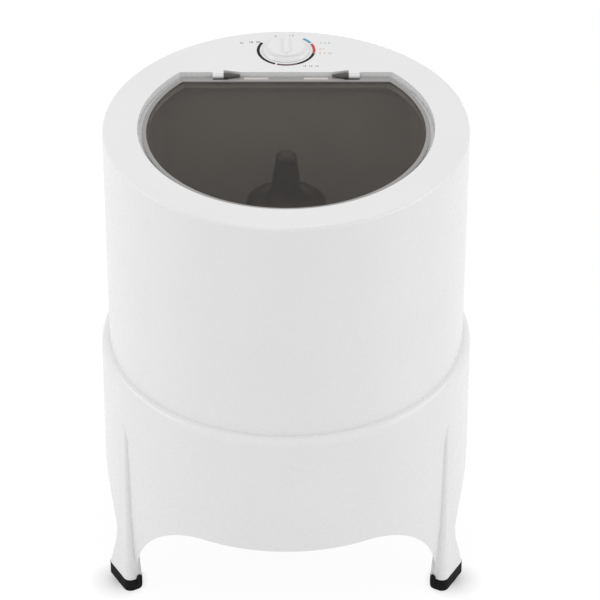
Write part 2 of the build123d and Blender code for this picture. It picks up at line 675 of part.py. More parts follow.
def timer_body():
    """Spring-wound timer under the console, on its mounting plate."""
    plate = block((-TIMER_SIZE / 2, TIMER_SIZE / 2), (DIAL_Y - 16, DIAL_Y + 16),
                  (TOP_UNDER_Z - TIMER_PLATE_T, TOP_UNDER_Z))
    top = TOP_UNDER_Z - TIMER_PLATE_T
    case = disc(TIMER_SIZE / 2 - 2, top - TIMER_H, TIMER_H, 0, DIAL_Y)
    case = fillet(case.edges().sort_by(Axis.Z)[0], 3)
    body = case + plate
    for x in (-8, 0, 8):
        body += block((x - 1.5, x + 1.5), (DIAL_Y + 8, DIAL_Y + 9), (top - TIMER_H - 8, top - TIMER_H))
    body -= disc(TIMER_SHAFT_R + RUNNING, top - TIMER_H + 8, TIMER_H + 10, 0, DIAL_Y)
    for side in (-1, 1):
        body -= disc(SCREW_R, top - 8, TIMER_H, side * TIMER_SCREW_X, DIAL_Y)
    return body


def timer_screws():
    """Two screws through the console, hidden under the knob."""
    return together(screw(side * TIMER_SCREW_X, DIAL_Y, RIM_Z, WALL + 5) for side in (-1, 1))


def timer_shaft():
    """Flatted spindle from the timer into the knob."""
    bottom = TOP_UNDER_Z - TIMER_PLATE_T - TIMER_H + 8 + FIT
    top = RIM_Z + KNOB_GAP + KNOB_H - 2
    shaft = disc(TIMER_SHAFT_R, bottom, top - bottom, 0, DIAL_Y)
    flat = block((-5, 5), (DIAL_Y + TIMER_SHAFT_R - 1, DIAL_Y + 5), (RIM_Z + KNOB_GAP, top + 1))
    return shaft - flat


def timer_knob():
    """Round knob: wide skirt, raised disc and a full-width grip bar."""
    bottom = RIM_Z + KNOB_GAP
    skirt = Pos(0, 0, bottom) * Cone(KNOB_SKIRT_R, KNOB_SKIRT_R - 2.5, KNOB_SKIRT_H,
                                     align=(Align.CENTER, Align.CENTER, Align.MIN))
    skirt = fillet(skirt.edges().sort_by(Axis.Z)[-1], 1.5)
    raised = Pos(0, 0, bottom) * Cone(KNOB_DISC_R + 2, KNOB_DISC_R, KNOB_H,
                                      align=(Align.CENTER, Align.CENTER, Align.MIN))
    raised = fillet(raised.edges().sort_by(Axis.Z)[-1], 1.8)
    grip_foot = Pos(0, 0, bottom) * RectangleRounded(GRIP_W, GRIP_L, GRIP_W / 2 - 0.1)
    grip = extrude(grip_foot, GRIP_H, taper=GRIP_SLOPE)
    grip = fillet(grip.edges().group_by(Axis.Z)[-1], 1.2)
    knob = skirt + raised + grip
    hollow = tube(KNOB_HOLLOW_R, TIMER_SHAFT_R + 4, bottom - 1, KNOB_HOLLOW_H + 1)
    knob = Pos(0, DIAL_Y, 0) * (knob - hollow)
    return knob - knob_bore()


def knob_bore():
    """Flatted socket for the spindle."""
    top = RIM_Z + KNOB_GAP + KNOB_H - 2 + FIT
    bore = disc(TIMER_SHAFT_R + RUNNING / 2, RIM_Z - 1, top - RIM_Z + 1, 0, DIAL_Y)
    return bore - block((-5, 5), (DIAL_Y + TIMER_SHAFT_R - 1 + RUNNING / 2, DIAL_Y + 5), (RIM_Z - 2, top + 1))


def agitator():
    """Finned base that sweeps up into a tall hollow column with a collar."""
    rim_z = AGITATOR_Z + AGITATOR_RIM_H
    sweep_up = Spline((AGITATOR_R, rim_z), (COLUMN_FOOT_R + 16, AGITATOR_Z + 30),
                      (COLUMN_FOOT_R, COLUMN_FOOT_Z), tangents=[(-1, 0.12), (-0.08, 1)])
    inside = Spline((AGITATOR_R - 6, AGITATOR_Z - 1), (COLUMN_FOOT_R + 13, AGITATOR_Z + 26),
                    (COLUMN_FOOT_R - AGITATOR_WALL, COLUMN_FOOT_Z), tangents=[(-1, 0.2), (-0.08, 1)])
    top_in = COLUMN_TOP_R - AGITATOR_WALL
    body = turned((0, AGITATOR_Z), (AGITATOR_R, AGITATOR_Z), (AGITATOR_R, rim_z), sweep_up,
                  (COLUMN_TOP_R, COLLAR_Z - COLLAR_H), (COLLAR_R, COLLAR_Z - COLLAR_H / 2),
                  (COLLAR_R, COLLAR_Z),
                  (COLUMN_TOP_R, COLLAR_Z + COLLAR_H / 2), (COLUMN_TOP_R, COLUMN_TOP_Z), (0, COLUMN_TOP_Z))
    for step in range(VANE_COUNT):
        body += Rot(0, 0, 360 / VANE_COUNT * step) * vane()
        body += Rot(0, 0, 360 / VANE_COUNT * (step + 0.5)) * fin()
    body -= turned((0, AGITATOR_Z - 1), (AGITATOR_R - 6, AGITATOR_Z - 1), inside, (top_in, COLUMN_TOP_Z + 1),
                   (0, COLUMN_TOP_Z + 1))
    hub_top = SHAFT_TOP_Z + 6
    body += disc(SHAFT_R + 7, AGITATOR_Z + 1, hub_top - AGITATOR_Z - 1)
    body += tube(COLUMN_FOOT_R + 14, SHAFT_R, AGITATOR_Z + 27, AGITATOR_WALL)
    body -= disc(SHAFT_R + RUNNING / 2, AGITATOR_Z, SHAFT_TOP_Z - AGITATOR_Z)
    body -= disc(3.1, SHAFT_TOP_Z - 1, 10)
    return body


def vane():
    """Tall blade, widest at the base and leaning back into the column."""
    low = AGITATOR_Z + AGITATOR_RIM_H - 2
    edge = Spline((AGITATOR_R - 4, low + 6), (AGITATOR_R - 36, low + 62), (COLUMN_TOP_R, COLUMN_TOP_Z - 36),
                  tangents=[(0, 1), (-0.25, 1)])
    start = (COLUMN_TOP_R - 3, COLUMN_TOP_Z - 36)
    outline = [Line((COLUMN_TOP_R - 3, low), (AGITATOR_R - 4, low)), Line((AGITATOR_R - 4, low), edge @ 0),
               edge, Line(edge @ 1, start), Line(start, (COLUMN_TOP_R - 3, low))]
    return extrude(Plane.XZ * make_face(outline), VANE_T / 2, both=True)


def fin():
    """Low rib on the base between two blades."""
    low = AGITATOR_Z + AGITATOR_RIM_H - 3
    rib = Polygon((COLUMN_FOOT_R + 6, low), (AGITATOR_R - 6, low), (AGITATOR_R - 12, low + FIN_H),
                  (COLUMN_FOOT_R + 6, low + 3.4 * FIN_H), align=None)
    return extrude(Plane.XZ * rib, FIN_T / 2, both=True)


def agitator_cap():
    """Lens-shaped cap with a post, plugged into the column's top."""
    gap_z = COLUMN_TOP_Z + FIT
    flare = Spline((CAP_R - 2, CAP_EDGE_Z + 1.5), (CAP_FLARE_R, CAP_FLARE_Z), (POST_FOOT_R, POST_FOOT_Z),
                   tangents=[(-1, 0.25), (-0.06, 1)])
    plug_r = COLUMN_TOP_R - AGITATOR_WALL - FIT
    return turned((0, COLUMN_TOP_Z - 10), (plug_r - 1, COLUMN_TOP_Z - 10), (plug_r, COLUMN_TOP_Z - 9),
                  (plug_r, gap_z), (COLUMN_TOP_R, gap_z), (CAP_R - 2, CAP_EDGE_Z - 2), (CAP_R, CAP_EDGE_Z),
                  (CAP_R - 2, CAP_EDGE_Z + 1.5), flare, (POST_TOP_R, POST_TOP_Z), (0, POST_TOP_Z))


def agitator_plug():
    """Domed button that closes the post."""
    button = Pos(0, 0, POST_TOP_Z) * Cone(POST_TOP_R, POST_TOP_R - 0.6, DOME_H,
                                          align=(Align.CENTER, Align.CENTER, Align.MIN))
    return fillet(button.edges().sort_by(Axis.Z)[-1], DOME_H * 0.6)


def agitator_bolt():
    """Bolt down through the hub into the shaft's end."""
    head = extrude(Pos(0, 0, SHAFT_TOP_Z + 6) * RegularPolygon(6, 6), 5)
    return head + disc(3, SHAFT_TOP_Z - 12, 18)


def drive_shaft():
    """Upright shaft from the pulley to the agitator's hub."""
    shaft = disc(SHAFT_R, SHAFT_BOTTOM_Z, SHAFT_TOP_Z - SHAFT_BOTTOM_Z)
    shaft = chamfer(shaft.edges().filter_by(GeomType.CIRCLE), 1)
    return shaft - disc(3, SHAFT_TOP_Z - 12, 13)


def bearing_housing():
    """Flanged housing screwed under the tub, its neck through the tub's floor."""
    flange_z = TUB_FLOOR_Z - HOUSING_FLANGE_T
    flange = disc(HOUSING_FLANGE_R, flange_z, HOUSING_FLANGE_T)
    body = flange + disc(HOUSING_R, HOUSING_BOTTOM_Z, HOUSING_NECK_Z - HOUSING_BOTTOM_Z)
    for step in range(4):
        rib = Polygon((HOUSING_R - 2, flange_z), (HOUSING_FLANGE_R - 4, flange_z),
                      (HOUSING_R - 2, HOUSING_BOTTOM_Z + 40), align=None)
        body += Rot(0, 0, 45 + 90 * step) * extrude(Plane.XZ * rib, 2.5, both=True)
        x, y = spot(HOUSING_FLANGE_R - 9, 90 * step)
        body -= disc(SCREW_R + FIT, flange_z - 1, HOUSING_FLANGE_T + 2, x, y)
    body -= disc(SHAFT_R + 1, HOUSING_BOTTOM_Z - 1, HOUSING_NECK_Z)
    body -= disc(BUSH_R, HOUSING_BOTTOM_Z - 1, BUSH_L + 1)
    body -= disc(BUSH_R, HOUSING_NECK_Z - SEAL_H - BUSH_L, BUSH_L + SEAL_H + 1)
    return body


def bush(bottom):
    """Sintered bearing sleeve."""
    return tube(BUSH_R, SHAFT_R + RUNNING, bottom, BUSH_L)


def shaft_seal():
    """Lip seal at the top of the housing's neck."""
    ring = turned((SHAFT_R + 0.05, HOUSING_NECK_Z - SEAL_H), (BUSH_R, HOUSING_NECK_Z - SEAL_H),
                  (BUSH_R, HOUSING_NECK_Z), (SHAFT_R + 3, HOUSING_NECK_Z), (SHAFT_R + 2, HOUSING_NECK_Z - 3),
                  (SHAFT_R + 0.05, HOUSING_NECK_Z - 1))
    return ring


def housing_screws():
    """Four screws up through the flange into the tub's floor."""
    bottom = TUB_FLOOR_Z - HOUSING_FLANGE_T
    places = [spot(HOUSING_FLANGE_R - 9, 90 * step) for step in range(4)]
    return together(screw(x, y, bottom, HOUSING_FLANGE_T - FIT, up=True) for x, y in places)


def grooved_wheel(radius, hub_radius, hub_height, bore):
    """Pulley with a V groove in its rim, the hub standing above it."""
    low = BELT_Z - PULLEY_W / 2
    high = BELT_Z + PULLEY_W / 2
    floor = radius - GROOVE_DEPTH
    half = BELT_H / 2 + 0.5
    rim = turned((0, low), (radius, low), (radius, BELT_Z - half - 1.5), (floor, BELT_Z - half),
                 (floor, BELT_Z + half), (radius, BELT_Z + half + 1.5), (radius, high), (0, high))
    return rim + disc(hub_radius, low, hub_height) - disc(bore, low - 1, hub_height + 2)


def driven_pulley():
    """Large pulley on the agitator's shaft, its web cut into six spokes."""
    wheel = grooved_wheel(DRIVEN_R, DRIVEN_HUB_R, DRIVEN_HUB_H, SHAFT_R + RUNNING / 2)
    low = BELT_Z - PULLEY_W / 2
    rim_in = DRIVEN_R - GROOVE_DEPTH - 5
    for face_z in (low - 1, low + PULLEY_W - 5):
        wheel -= tube(rim_in, DRIVEN_HUB_R + 3, face_z, 6)
    window = extrude(RectangleRounded(34, 24, 9), PULLEY_W + 2)
    window = Pos((rim_in + DRIVEN_HUB_R) / 2 + 3, 0, low - 1) * window
    for step in range(6):
        wheel -= Rot(0, 0, 60 * step) * window
    return wheel


def pulley_nut():
    """Hexagon nut under the pulley."""
    low = BELT_Z - PULLEY_W / 2
    return extrude(Pos(0, 0, low - 8) * RegularPolygon(13, 6), 8) - disc(SHAFT_R + RUNNING / 2, low - 9, 10)


def motor_pulley():
    """Small pulley on the motor's shaft."""
    hub_r = MOTOR_PULLEY_R - GROOVE_DEPTH - 1
    wheel = grooved_wheel(MOTOR_PULLEY_R, hub_r, PULLEY_W, MOTOR_SHAFT_R + RUNNING / 2)
    return Pos(0, MOTOR_Y, 0) * wheel


def drive_belt():
    """Closed belt round both pulleys, just clear of their grooves."""
    def loop(clearance):
        ends = [Circle(DRIVEN_R - GROOVE_DEPTH + clearance),
                Pos(0, MOTOR_Y) * Circle(MOTOR_PULLEY_R - GROOVE_DEPTH + clearance)]
        return make_hull(ends[0].edges() + ends[1].edges())
    face = loop(BELT_GAP + BELT_T) - loop(BELT_GAP)
    return extrude(Pos(0, 0, BELT_Z - BELT_H / 2) * face, BELT_H)


def motor_stator():
    """Laminated core of the motor with its bore."""
    bottom = MOTOR_BOTTOM_Z + BELL_H
    core = tube(STATOR_R, 30, bottom, STATOR_H, 0, MOTOR_Y)
    for step in range(4):
        x, y = spot(STATOR_R - 1, 45 + 90 * step)
        core -= disc(5, bottom - 1, STATOR_H + 2, x, MOTOR_Y + y)
    return core


def motor_bell(bottom, up):
    """End shield with a bearing boss and four windows."""
    bell = disc(MOTOR_R, 0, BELL_H) - disc(MOTOR_R - WALL, WALL, BELL_H)
    bell += disc(12, 0, 12) - disc(MOTOR_SHAFT_R + RUNNING, -1, BELL_H)
    bell -= disc(MOTOR_SHAFT_R + RUNNING, -1, BELL_H)
    window = extrude(Pos(32, 0, -1) * RectangleRounded(22, 16, 5), WALL + 2)
    for step in range(4):
        bell -= Rot(0, 0, 90 * step) * window
    bell = fillet(bell.edges().filter_by(GeomType.CIRCLE).group_by(Axis.Z)[0].sort_by(SortBy.RADIUS)[-1], 2)
    if up:
        bell = Rot(180, 0, 0) * bell
    return Pos(0, MOTOR_Y, bottom) * bell


def motor_rotor():
    """Shaft with the rotor's core."""
    core_bottom = MOTOR_BOTTOM_Z + BELL_H + 4
    shaft_bottom = BELT_Z - PULLEY_W / 2 - 2
    shaft = disc(MOTOR_SHAFT_R, shaft_bottom, MOTOR_TOP_Z + FAN_GAP + FAN_H - shaft_bottom)
    return Pos(0, MOTOR_Y, 0) * (shaft + disc(29, core_bottom, STATOR_H - 8))


def motor_fan():
    """Cooling fan with curved-back blades on the motor's upper end."""
    bottom = MOTOR_TOP_Z + FAN_GAP
    fan = disc(FAN_R, bottom, 1.6) + disc(MOTOR_SHAFT_R + 4, bottom, FAN_H)
    for step in range(8):
        blade = block((MOTOR_SHAFT_R + 6, FAN_R - 1), (-0.8, 0.8), (bottom, bottom + FAN_H))
        fan += Rot(0, 0, 45 * step) * blade
    fan += disc(MOTOR_SHAFT_R + 8, bottom, 2.4)
    return Pos(0, MOTOR_Y, 0) * (fan - disc(MOTOR_SHAFT_R + RUNNING / 2, bottom - 1, FAN_H + 2))


def motor_bracket():
    """Steel plate between the tub and the deck that carries the motor."""
    outline = Pos(0, (BRACKET_FRONT_Y + BRACKET_BACK_Y) / 2) * RectangleRounded(
        BRACKET_W, BRACKET_BACK_Y - BRACKET_FRONT_Y, 10)
    plate = extrude(Pos(0, 0, BRACKET_Z) * outline, BRACKET_T)
    for x, y in DRIVE_BOSS_PLACES + DECK_BOSS_PLACES:
        plate -= disc(SCREW_R + FIT, BRACKET_Z - 1, BRACKET_T + 2, x, y)
    for x, y in stud_places():
        plate -= disc(STUD_R + FIT, BRACKET_Z - 1, BRACKET_T + 2, x, y)
    return plate


def stud_places():
    """Plan positions of the four studs that hang the motor."""
    places = [spot(STUD_CIRCLE_R, 45 + 90 * step) for step in range(4)]
    return [(x, MOTOR_Y + y) for x, y in places]


def motor_studs():
    """Four long studs through the motor and the bracket, nutted above it."""
    bottom = MOTOR_TOP_Z
    group = []
    for x, y in stud_places():
        stud = disc(STUD_R, bottom, BRACKET_Z + BRACKET_T + 4 - bottom, x, y)
        collar = disc(STUD_R + 2.5, bottom, BRACKET_Z - bottom, x, y)
        nut = extrude(Pos(x, y, BRACKET_Z + BRACKET_T) * RegularPolygon(4.5, 6), 4)
        group.append(stud + collar + nut)
    return together(group)


def bracket_screws():
    """Four screws up through the bracket into the bosses of the tub and the deck."""
    places = DRIVE_BOSS_PLACES + DECK_BOSS_PLACES
    return together(screw(x, y, BRACKET_Z, DECK_Z - BRACKET_Z - FIT, up=True) for x, y in places)


def capacitor():
    """Run capacitor hanging beside the drive."""
    top = DECK_Z - 8
    can = disc(CAPACITOR_R, top - CAPACITOR_H, CAPACITOR_H, CAPACITOR_X, CAPACITOR_Y)
    can = fillet(can.edges().filter_by(GeomType.CIRCLE), 2)
    for side in (-1, 1):
        tab_x = CAPACITOR_X + side * 6
        can += block((tab_x - 2, tab_x + 2), (CAPACITOR_Y - 0.5, CAPACITOR_Y + 0.5),
                     (top - CAPACITOR_H - 8, top - CAPACITOR_H + 1))
    return can


def capacitor_clip():
    """Spring band round the capacitor with a tab screwed under the deck."""
    top = DECK_Z - 8
    cup = disc(CAPACITOR_R + 1.5, top, 1.5) + tube(CAPACITOR_R + 1.5, CAPACITOR_R + FIT / 3, top - 22, 22)
    post = disc(7, top, DECK_Z - top)
    return Pos(CAPACITOR_X, CAPACITOR_Y, 0) * (cup + post)


def radial_bar(radius, start, end):
    """Round bar along +X at the outlet's height."""
    centre = Plane(origin=(start, 0, OUTLET_Z), x_dir=(0, 1, 0), z_dir=(1, 0, 0))
    return extrude(centre * Circle(radius), end - start)


def drain_outlet():
    """Elbow from the tub's drain hole to a flanged spigot on the skirt."""
    path = FilletPolyline((DRAIN_PLACE_R, 0, TUB_FLOOR_Z), (DRAIN_PLACE_R, 0, OUTLET_Z),
                          (SKIRT_R, 0, OUTLET_Z), radius=OUTLET_BEND_R)
    start = Plane(origin=(DRAIN_PLACE_R, 0, TUB_FLOOR_Z), z_dir=(0, 0, -1))
    end = SKIRT_R + OUTLET_FLANGE_T
    flange = radial_bar(OUTLET_FLANGE_R, SKIRT_R - 3, end) - disc(SKIRT_R, 0, RIM_Z)
    pipe = sweep(start * Circle(OUTLET_PIPE_R), path=path) + radial_bar(OUTLET_PIPE_R, SKIRT_R - 1, end)
    pipe += flange + radial_bar(SPIGOT_R, end, end + SPIGOT_L)
    pipe += disc(DRAIN_R + 1, TUB_FLOOR_Z - 4, 4, DRAIN_PLACE_R)
    pipe -= sweep(start * Circle(OUTLET_BORE_R), path=path)
    pipe -= radial_bar(OUTLET_BORE_R, SKIRT_R - 1, end + SPIGOT_L + 1)
    return around(pipe, OUTLET_AZIMUTH)


def drain_strainer():
    """Perforated disc over the drain hole."""
    plate = disc(DRAIN_R - FIT, TUB_FLOOR_Z + TUB_FLOOR_T - STRAINER_T, STRAINER_T)
    plate -= disc(2, 0, RIM_Z)
    for step in range(6):
        x, y = spot(7, 60 * step)
        plate -= disc(2, 0, RIM_Z, x, y)
    return Pos(*spot(DRAIN_PLACE_R, OUTLET_AZIMUTH), 0) * plate


def cord_gland():
    """Grommet through the skirt where a mains lead would leave."""
    inner = SKIRT_R - WALL - GLAND_INSIDE_L
    outer = SKIRT_R + GLAND_LIP_T
    body = radial_bar(GLAND_BODY_R, inner, outer)
    body += radial_bar(GLAND_LIP_R, SKIRT_R - 1, outer) - disc(SKIRT_R, 0, RIM_Z)
    body -= radial_bar(GLAND_BORE_R, inner - 1, outer + 1)
    return around(body, GLAND_AZIMUTH)


def ring_screws(radius, azimuths, head_z, length):
    """Circle of equal screws driven upwards."""
    places = [spot(radius, azimuth) for azimuth in azimuths]
    return together(screw(x, y, head_z, length, up=True) for x, y in places)


def pieces():
    """Every sub-part by its name."""
    tub_screws = [azimuth for azimuth in TUB_SCREW_AZIMUTHS if azimuth != 180]
    made = {
        "outer_cabinet": cabinet(),
        "wash_tub": wash_tub(),
        "tub_gasket": tub_gasket(),
        "base_skirt": base_skirt(),
        "bottom_cover": bottom_cover(),
        "cabinet_screws": ring_screws(CABINET_SCREW_R, CABINET_SCREW_AZIMUTHS, DECK_Z, 28),
        "tub_screws": ring_screws(TUB_SCREW_R, tub_screws, DECK_Z, 9),
        "cover_screws": ring_screws(COVER_SCREW_R, COVER_SCREW_AZIMUTHS, LEDGE_Z - COVER_T, 11),
        "lid_frame": lid_frame(),
        "lid_panel": lid_panel(),
        "lid_pads": lid_pads(),
        "timer_body": timer_body(),
        "timer_screws": timer_screws(),
        "timer_shaft": timer_shaft(),
        "timer_knob": timer_knob(),
        "agitator": agitator(),
        "agitator_cap": agitator_cap(),
        "agitator_plug": agitator_plug(),
        "agitator_bolt": agitator_bolt(),
        "drive_shaft": drive_shaft(),
        "bearing_housing": bearing_housing(),
        "housing_screws": housing_screws(),
        "lower_bush": bush(HOUSING_BOTTOM_Z),
        "upper_bush": bush(HOUSING_NECK_Z - SEAL_H - BUSH_L),
        "shaft_seal": shaft_seal(),
        "driven_pulley": driven_pulley(),
        "pulley_nut": pulley_nut(),
        "drive_belt": drive_belt(),
        "motor_pulley": motor_pulley(),
        "motor_stator": motor_stator(),
        "motor_lower_bell": motor_bell(MOTOR_BOTTOM_Z, up=False),
        "motor_upper_bell": motor_bell(MOTOR_TOP_Z, up=True),
        "motor_rotor": motor_rotor(),
        "motor_fan": motor_fan(),
        "motor_bracket": motor_bracket(),
        "motor_studs": motor_studs(),
        "bracket_screws": bracket_screws(),
        "capacitor": capacitor(),
        "capacitor_clip": capacitor_clip(),
        "drain_outlet": drain_outlet(),
        "drain_strainer": drain_strainer(),
        "cord_gland": cord_gland(),
    }
    for name, azimuth in LEG_AZIMUTHS.items():
        made["foot_cap_" + name] = foot_cap(azimuth)
    for name, side in (("left", -1), ("right", 1)):
        made["hinge_lug_" + name] = hinge_lug(side)
        made["hinge_pin_" + name] = hinge_pin(side)
    return made


os.makedirs("parts", exist_ok=True)
for node, shape in pieces().items():
    export_step(Pos(0, AXIS_Y, 0) * shape, "parts/" + node + ".step")
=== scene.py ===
# Looks for the round top-loading washing machine: materials, dial print, floor, light and camera.
# Metres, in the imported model's own frame: +Z is up and the front faces -Y.
import json
from math import cos, radians, sin

import bmesh
import bpy
from mathutils import Matrix, Vector


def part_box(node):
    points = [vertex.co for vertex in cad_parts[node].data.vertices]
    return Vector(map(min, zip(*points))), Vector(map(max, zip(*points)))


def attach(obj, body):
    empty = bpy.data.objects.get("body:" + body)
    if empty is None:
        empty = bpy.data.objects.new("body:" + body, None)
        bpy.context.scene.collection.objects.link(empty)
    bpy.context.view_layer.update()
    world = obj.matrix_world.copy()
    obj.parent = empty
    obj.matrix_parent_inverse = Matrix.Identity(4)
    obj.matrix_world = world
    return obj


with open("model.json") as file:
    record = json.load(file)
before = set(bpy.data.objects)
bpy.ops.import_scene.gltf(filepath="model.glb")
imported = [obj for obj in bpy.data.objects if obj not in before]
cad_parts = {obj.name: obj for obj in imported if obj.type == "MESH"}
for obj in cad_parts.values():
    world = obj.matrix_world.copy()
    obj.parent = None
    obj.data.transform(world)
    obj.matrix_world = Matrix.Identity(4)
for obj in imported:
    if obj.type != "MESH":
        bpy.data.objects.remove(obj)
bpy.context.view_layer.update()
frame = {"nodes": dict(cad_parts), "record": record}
nodes = frame["nodes"]

# Places on the model
AXIS_Y = -0.00825  # the tub's axis
RIM_Z = 0.690
DIAL_Y = 0.197 + AXIS_Y
FEET = ("foot_cap_front_left", "foot_cap_front_right", "foot_cap_rear")

# Dial print
PRINT_Z = RIM_Z + 0.00002  # just clear of the rim
PRINT_T = 0.00005
ARC_R = 0.0392
ARC_W = 0.0041
ARC_IN = ARC_R - ARC_W / 2
ARC_OUT = ARC_R + ARC_W / 2
ARC_STEP = 3  # least degrees between an arc's corners
NUMBER_SIZE = 0.0056
LARGE_NUMBER_SIZE = NUMBER_SIZE * 1.15

# Floor: white to the camera, but less so in a painted shadow patch just outward of each foot, where
# the floor's real shading shows through as a soft shadow
FLOOR_R = 9.0
FLOOR_CORNERS = 72
FLOOR_TONE = 0.9
FLOOR_GLOW = 1.02
WHITENESS = (0.0, 0.93)  # inside the painted shadow patch, and clear of it
PAINTED_SHADOW_REACH = (0.003, 0.043)  # distances at which those two are reached
PAINTED_SHADOW_OUT = 1.05  # the painted shadow patch's middle, against its foot's, from the tub's axis

# Light
FILL = 0.865
LAMPS = {"lamp_left": (-2.6, -0.1, 1.9), "lamp_right": (2.6, -0.1, 1.9)}
LAMP_SIZE = (2.4, 0.4)
LAMP_WATTS = 13.5
LAMP_AIM = (0.0, 0.0, 0.45)

# Camera, fitted to the rim, crease and feet
CAMERA_BACK = 4.2335  # in front of the tub's axis
CAMERA_ABOVE_RIM = 2.7104
CAMERA_PITCH = 54.676  # degrees, where 0 looks straight down
FOCAL_PX = 3694.9
AXIS_PX = 286.15  # the tub's axis, from the left of the frame
FRAME_PX = 600
SENSOR = 36.0  # millimetres

# Node details
NOISE_SPREAD = (0.3, 0.7)  # what a noise mostly keeps to
MIX_COLORS = (6, 7)  # a Mix node's colour inputs
MIX_RESULT = 2  # and its colour output


def add(name, data):
    """New object in the scene."""
    item = bpy.data.objects.new(name, data)
    bpy.context.scene.collection.objects.link(item)
    return item


# Shader building blocks

def put(inputs, values):
    """Put plain values on sockets, which are named with _ for each space."""
    for name, value in values.items():
        inputs[name.replace("_", " ")].default_value = value


class Tree:
    """Short calls for building the nodes of a material or world."""

    def __init__(self, owner):
        owner.use_nodes = True
        self.nodes = owner.node_tree.nodes
        self.links = owner.node_tree.links

    def node(self, kind, **values):
        """New node with these values on its inputs."""
        made = self.nodes.new(kind)
        put(made.inputs, values)
        return made

    def join(self, start, end):
        self.links.new(start, end)

    def place(self):
        """The point being shaded, in the object's own space."""
        return self.node("ShaderNodeTexCoord").outputs["Object"]

    def math(self, operation, first, second):
        node = self.node("ShaderNodeMath")
        node.operation = operation
        self.join(first, node.inputs[0])
        self.join(second, node.inputs[1])
        return node.outputs[0]

    def ramp(self, value, spread, ends):
        """Map value from the two numbers of spread to the two of ends."""
        node = self.node("ShaderNodeMapRange", From_Min=spread[0], From_Max=spread[1],
                         To_Min=ends[0], To_Max=ends[1])
        self.join(value, node.inputs["Value"])
        return node.outputs["Result"]

    def show(self, factor, first, second, output):
        """Send two shaders, mixed by factor, to the output node."""
        mix = self.node("ShaderNodeMixShader")
        self.join(factor, mix.inputs["Fac"])
        self.join(first.outputs[0], mix.inputs[1])
        self.join(second.outputs[0], mix.inputs[2])
        self.join(mix.outputs[0], self.node(output).inputs["Surface"])


class Shader(Tree):
    """A material of the machine, on Blender's own surface shader."""

    def __init__(self, name):
        self.material = bpy.data.materials.new(name)
        super().__init__(self.material)
        self.surface = self.nodes["Principled BSDF"].inputs
        self.here = self.place()

    def set(self, **values):
        """Put plain values on the surface shader's own sockets."""
        put(self.surface, values)

    def stretched(self, scale):
        """The place, scaled along each axis."""
        node = self.node("ShaderNodeMapping", Scale=scale)
        self.join(self.here, node.inputs["Vector"])
        return node.outputs["Vector"]

    def noise(self, scale, detail=3.0, roughness=0.55, place=None):
        node = self.node("ShaderNodeTexNoise", Scale=scale, Detail=detail, Roughness=roughness)
        self.join(place or self.here, node.inputs["Vector"])
        return node.outputs["Fac"]

    def color(self, value, color, low, high):
        """Base colour: color times low where value is 0, and times high where it is 1."""
        node = self.node("ShaderNodeMix")
        node.data_type = "RGBA"
        self.join(value, node.inputs["Factor"])
        for socket, factor in zip(MIX_COLORS, (low, high)):
            node.inputs[socket].default_value = (*(channel * factor for channel in color), 1.0)
        self.join(node.outputs[MIX_RESULT], self.surface["Base Color"])

    def roughness(self, value, low, high, spread=NOISE_SPREAD):
        """Roughness from low to high as value goes through its spread."""
        self.join(self.ramp(value, spread, (low, high)), self.surface["Roughness"])

    def bump(self, height, strength, distance):
        node = self.node("ShaderNodeBump", Strength=strength, Distance=distance)
        self.join(height, node.inputs["Height"])
        self.join(node.outputs["Normal"], self.surface["Normal"])


def moulded(name, color, rough, depth=0.00003, level=0.5):
    """Injection-moulded plastic: slight flow variation, fine grain, uneven gloss."""
    shader = Shader(name)
    shader.color(shader.noise(6.0, detail=2.0), color, 0.975, 1.025)
    shader.roughness(shader.noise(35.0, detail=4.0), rough - 0.04, rough + 0.06)
    shader.bump(shader.noise(900.0, detail=2.0), 0.25, depth)
    shader.set(Specular_IOR_Level=level)
    return shader.material


def rubber(name, color, dust_tone=2.6, level=0.35):
    """Matt rubber with a fine pebbled skin and pale dust in its grain."""
    shader = Shader(name)
    dust = shader.ramp(shader.noise(60.0, 5.0, 0.65), (0.5, 0.8), (0.0, 0.35))
    shader.color(dust, color, 1.0, dust_tone)
    shader.roughness(shader.noise(120.0), 0.62, 0.8)
    shader.bump(shader.noise(1400.0), 0.4, 0.00006)
    shader.set(Specular_IOR_Level=level)
    return shader.material


def metal(name, color, rough, streak=(900.0, 900.0, 60.0), depth=0.00002):
    """Bare metal with machining marks and slightly uneven gloss."""
    shader = Shader(name)
    marks = shader.noise(1.0, 4.0, 0.6, place=shader.stretched(streak))
    shader.color(marks, color, 0.9, 1.06)
    shader.roughness(marks, rough - 0.07, rough + 0.1)
    shader.bump(marks, 0.3, depth)
    shader.set(Metallic=1.0)
    return shader.material


def cast_metal(name, color):
    """Cast aluminium: dull, pebbled and patchy."""
    shader = Shader(name)
    patch = shader.noise(40.0, 5.0, 0.6)
    shader.color(patch, color, 0.82, 1.05)
    shader.roughness(patch, 0.42, 0.6)
    shader.bump(shader.noise(700.0, 4.0, 0.6), 0.5, 0.00015)
    shader.set(Metallic=1.0)
    return shader.material


def galvanised(name, color):
    """Zinc-coated sheet with its large faint crystals."""
    shader = Shader(name)
    cells = shader.node("ShaderNodeTexVoronoi", Scale=110.0)
    shader.join(shader.here, cells.inputs["Vector"])
    tone = shader.node("ShaderNodeSeparateColor")
    shader.join(cells.outputs["Color"], tone.inputs["Color"])
    shader.color(tone.outputs["Red"], color, 0.85, 1.08)
    shader.roughness(tone.outputs["Green"], 0.32, 0.5, spread=(0.0, 1.0))
    shader.set(Metallic=1.0)
    return shader.material


def smoked(name, color):
    """Smoked clear plastic: polished faces with very faint haze."""
    shader = Shader(name)
    shader.color(shader.noise(9.0, detail=2.0), color, 0.97, 1.03)
    shader.roughness(shader.noise(25.0, detail=4.0), 0.03, 0.07)
    shader.set(Transmission_Weight=1.0, IOR=1.2)
    return shader.material


